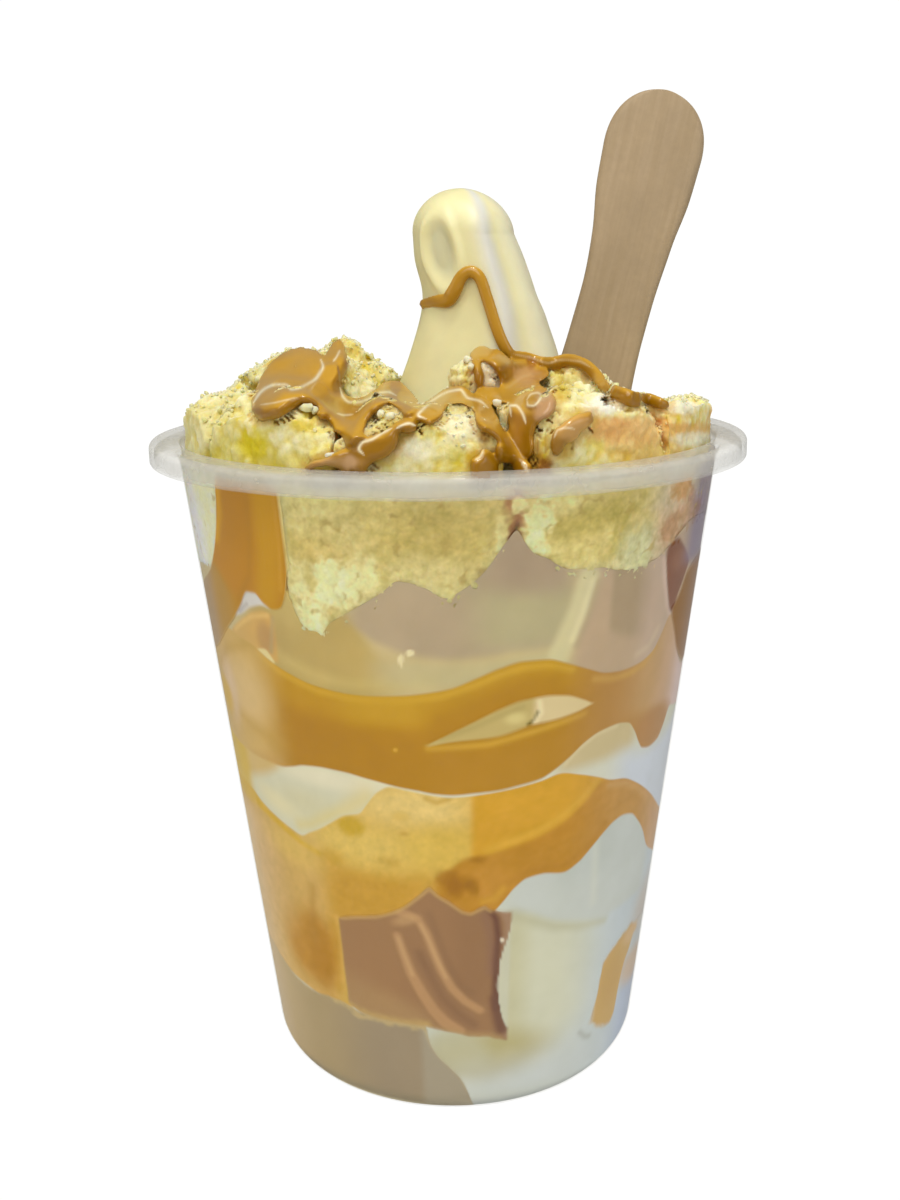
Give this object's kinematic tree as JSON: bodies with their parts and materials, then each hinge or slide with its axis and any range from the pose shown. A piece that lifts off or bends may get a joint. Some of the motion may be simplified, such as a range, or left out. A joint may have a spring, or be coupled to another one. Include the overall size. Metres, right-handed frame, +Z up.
{
  "type": "sundae cup",
  "caption": "Clear tapered plastic cup of layered soft-serve cream, caramel and cake, topped with cake lumps, a cream peak, caramel threads and a flat wooden spoon.",
  "frame": {"origin": "middle of the cup's flat underside", "axes": "+Z up out of the cup, -Y the front, +X to the right seen from the front"},
  "size_m": [0.0952, 0.0952, 0.1604],
  "materials": {
    "clear_plastic": "thin clear plastic with a slight milky haze, milkier at the rolled lip",
    "spoon_wood": "bare pale birch with fine straight grain",
    "cream": "smooth pale yellow soft-serve cream, softly glossy",
    "caramel": "thick glossy caramel sauce",
    "soaked_sponge": "yellow sponge cake soaked with caramel",
    "sponge": "open, crumbly pale yellow sponge cake",
    "icing": "smooth brown caramel icing on cake"
  },
  "bodies": {
    "root": {"cup": "clear_plastic", "spoon": "spoon_wood", "lower_cream": "cream", "middle_cream": "cream", "upper_cream": "cream", "cream_fold": "cream", "soaked_cake": "soaked_sponge", "caramel_band": "caramel", "caramel_pocket": "caramel", "caramel_streak_left": "caramel", "caramel_streak_right": "caramel", "iced_cake": "icing", "base_cake": "icing", "cake_lump_left": "sponge", "cake_lump_front_left": "sponge", "cake_lump_front_small": "sponge", "cake_lump_front": "sponge", "cake_lump_centre": "sponge", "cake_lump_by_peak": "sponge", "cake_lump_front_right": "sponge", "cake_lump_inner_right": "sponge", "cake_lump_right": "sponge", "cake_lump_right_edge": "sponge", "cake_lump_back_left": "sponge", "cake_lump_back": "sponge", "cake_lump_back_side": "sponge", "cake_lump_back_right": "sponge"}
  },
  "joints": []
}
